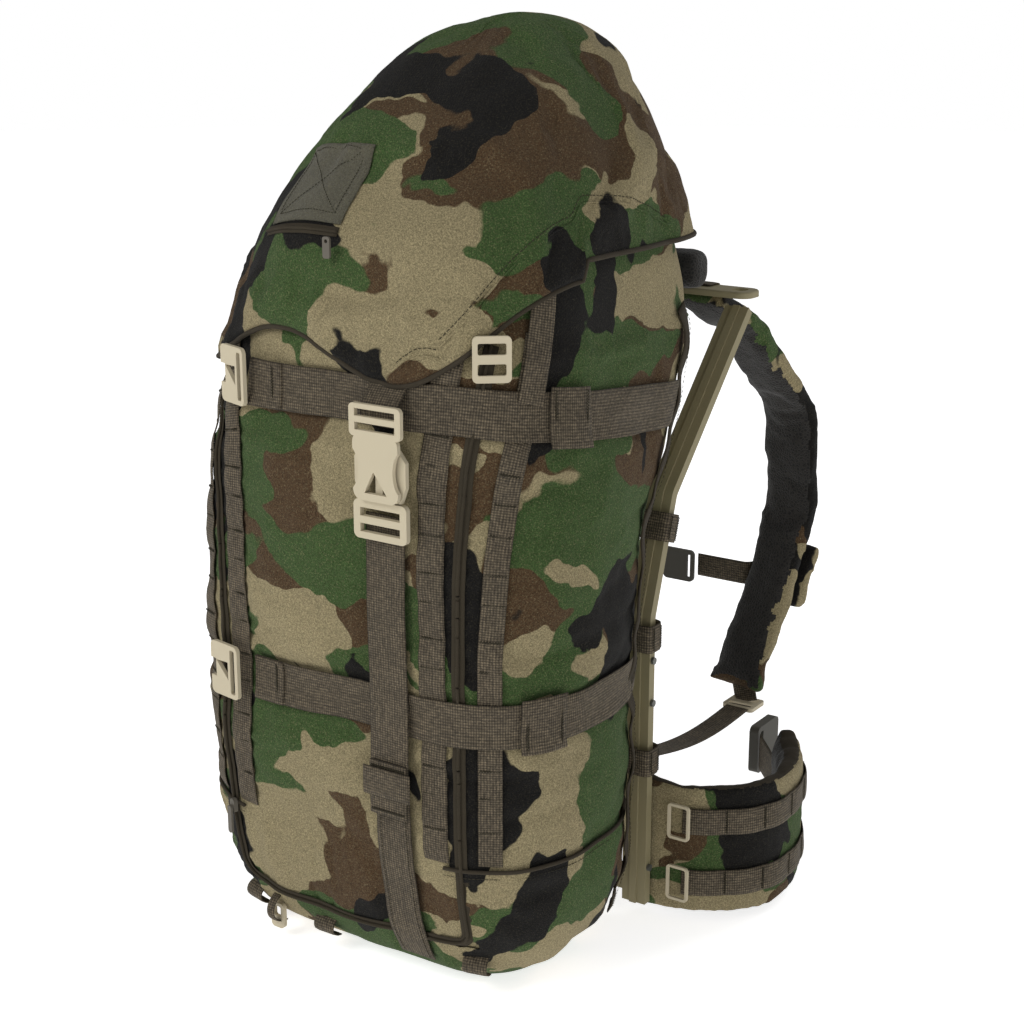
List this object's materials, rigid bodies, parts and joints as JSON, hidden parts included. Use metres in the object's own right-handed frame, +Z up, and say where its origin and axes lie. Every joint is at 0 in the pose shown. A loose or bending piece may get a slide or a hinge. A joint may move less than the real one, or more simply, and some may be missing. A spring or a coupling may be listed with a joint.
{
  "type": "hunting backpack",
  "caption": "Tall top-loading camouflage hunting backpack with hood lid, compression straps, moulded frame, shoulder harness and hip belt.",
  "frame": {"origin": "on the ground under the middle of the bag, where the boot stands", "axes": "+Z up, -Y towards the front of the bag, +Y towards the wearer, +X to the right seen from the front"},
  "size_m": [0.523, 0.6231, 0.792],
  "materials": {
    "camo_cloth": "printed woodland camouflage cloth",
    "collar_cloth": "coated lining cloth",
    "pad_mesh": "spacer mesh",
    "webbing": "woven webbing",
    "tan_plastic": "moulded, matt",
    "dark_plastic": "moulded, matt",
    "khaki_plastic": "moulded, matt",
    "zip": "coil zip and metal pulls",
    "loop_patch": "loop fastener",
    "cord": "braided",
    "screw_steel": "blackened"
  },
  "bodies": {
    "pack": {"main_bag": "camo_cloth", "bottom_boot": "camo_cloth", "storm_collar": "collar_cloth", "collar_drawcord": "cord", "collar_cord_lock": "dark_plastic", "front_zip": "zip", "sewn_rows": "webbing", "upper_compression_strap": "webbing", "lower_compression_strap": "webbing", "strap_keepers": "webbing", "front_strap": "webbing", "front_strap_anchor": "webbing", "side_binding": "webbing", "top_ladder_lock": "tan_plastic", "bottom_loops": "webbing", "bottom_hook": "tan_plastic", "frame_stay_left": "khaki_plastic", "frame_stay_right": "khaki_plastic", "frame_bars": "khaki_plastic", "frame_top_plate": "khaki_plastic", "frame_screws": "screw_steel", "stay_loops": "webbing", "back_pad": "pad_mesh", "lumbar_pad": "pad_mesh", "shoulder_yoke": "camo_cloth", "lower_webbing": "webbing"},
    "lid_body": {"lid": "camo_cloth", "lid_patch": "loop_patch", "lid_zip": "zip", "lid_strap": "webbing", "front_buckle_female": "tan_plastic"},
    "lid_pull": {"lid_zip_pull": "zip"},
    "buckle_plug": {"front_buckle_male": "tan_plastic"},
    "plug_arm_left": {"front_buckle_arm_left": "tan_plastic"},
    "plug_arm_right": {"front_buckle_arm_right": "tan_plastic"},
    "upper_hook": {"upper_strap_hook": "tan_plastic"},
    "lower_hook": {"lower_strap_hook": "tan_plastic"},
    "zip_slider": {"front_zip_slider": "zip"},
    "side_buckle_tab": {"side_buckle_strap": "webbing", "side_buckle": "tan_plastic"},
    "handle": {"haul_handle": "webbing"},
    "harness": {"shoulder_strap_left": "camo_cloth", "shoulder_strap_right": "camo_cloth", "strap_rows": "webbing", "strap_adjusters": "tan_plastic", "shoulder_pouch": "camo_cloth", "sternum_strap_right": "webbing", "sternum_strap_left": "webbing", "sternum_buckle_female": "dark_plastic"},
    "sternum_plug": {"sternum_buckle_male": "dark_plastic"},
    "wing_left": {"hip_wing_left": "camo_cloth", "wing_rows_left": "webbing", "wing_wire_loops_left": "tan_plastic", "belt_webbing_left": "webbing", "belt_buckle_left": "dark_plastic"},
    "wing_right": {"hip_wing_right": "camo_cloth", "wing_rows_right": "webbing", "wing_wire_loops_right": "tan_plastic", "belt_webbing_right": "webbing", "belt_buckle_right": "dark_plastic"}
  },
  "joints": [
    {"name": "lid_hinge", "type": "hinge", "parent": "pack", "child": "lid_body", "pos_m": [0.018, 0.207, 0.616], "axis": [-1, 0, 0], "range_deg": [0, 100]},
    {"name": "lid_pull_swing", "type": "hinge", "parent": "lid_body", "child": "lid_pull", "pos_m": [0.002, -0.148, 0.633], "axis": [-1, 0, 0], "range_deg": [0, 70]},
    {"name": "front_buckle_release", "type": "slide", "parent": "pack", "child": "buckle_plug", "axis": [0, 0, -1], "range_m": [0, 0.045]},
    {"name": "plug_arm_left_flex", "type": "hinge", "parent": "buckle_plug", "child": "plug_arm_left", "pos_m": [0.045, -0.162, 0.438], "axis": [0, 1, 0], "range_deg": [0, 7], "stiffness_Nm_per_rad": 0.05},
    {"name": "plug_arm_right_flex", "type": "hinge", "parent": "buckle_plug", "child": "plug_arm_right", "pos_m": [0.079, -0.162, 0.438], "axis": [0, -1, 0], "range_deg": [0, 7], "stiffness_Nm_per_rad": 0.05},
    {"name": "upper_hook_swing", "type": "hinge", "parent": "pack", "child": "upper_hook", "pos_m": [-0.0827, -0.15467, 0.516], "axis": [0, 0, 1], "range_deg": [0, 60]},
    {"name": "lower_hook_swing", "type": "hinge", "parent": "pack", "child": "lower_hook", "pos_m": [-0.09687, -0.16115, 0.258], "axis": [0, 0, 1], "range_deg": [0, 60]},
    {"name": "front_zip_slide", "type": "slide", "parent": "pack", "child": "zip_slider", "axis": [0.0032, -0.0952, 0.9955], "range_m": [0, 0.04]},
    {"name": "side_buckle_swing", "type": "hinge", "parent": "pack", "child": "side_buckle_tab", "pos_m": [-0.193, -0.022, 0.487], "axis": [0, 1, 0], "range_deg": [0, 60]},
    {"name": "handle_fold", "type": "hinge", "parent": "pack", "child": "handle", "pos_m": [0, 0.252, 0.563], "axis": [-1, 0, 0], "range_deg": [0, 60]},
    {"name": "harness_swing", "type": "hinge", "parent": "pack", "child": "harness", "pos_m": [0, 0.272, 0.552], "axis": [1, 0, 0], "range_deg": [0, 20]},
    {"name": "sternum_release", "type": "slide", "parent": "harness", "child": "sternum_plug", "axis": [-1, 0, 0], "range_m": [0, 0.03]},
    {"name": "wing_left_swing", "type": "hinge", "parent": "pack", "child": "wing_left", "pos_m": [-0.148, 0.107, 0.07], "axis": [0, 0, -1], "range_deg": [-8, 12]},
    {"name": "wing_right_swing", "type": "hinge", "parent": "pack", "child": "wing_right", "pos_m": [0.148, 0.107, 0.07], "axis": [0, 0, 1], "range_deg": [-8, 12]}
  ],
  "couplings": [
    {"joint": "plug_arm_right_flex", "follows": "plug_arm_left_flex", "ratio": 1}
  ]
}
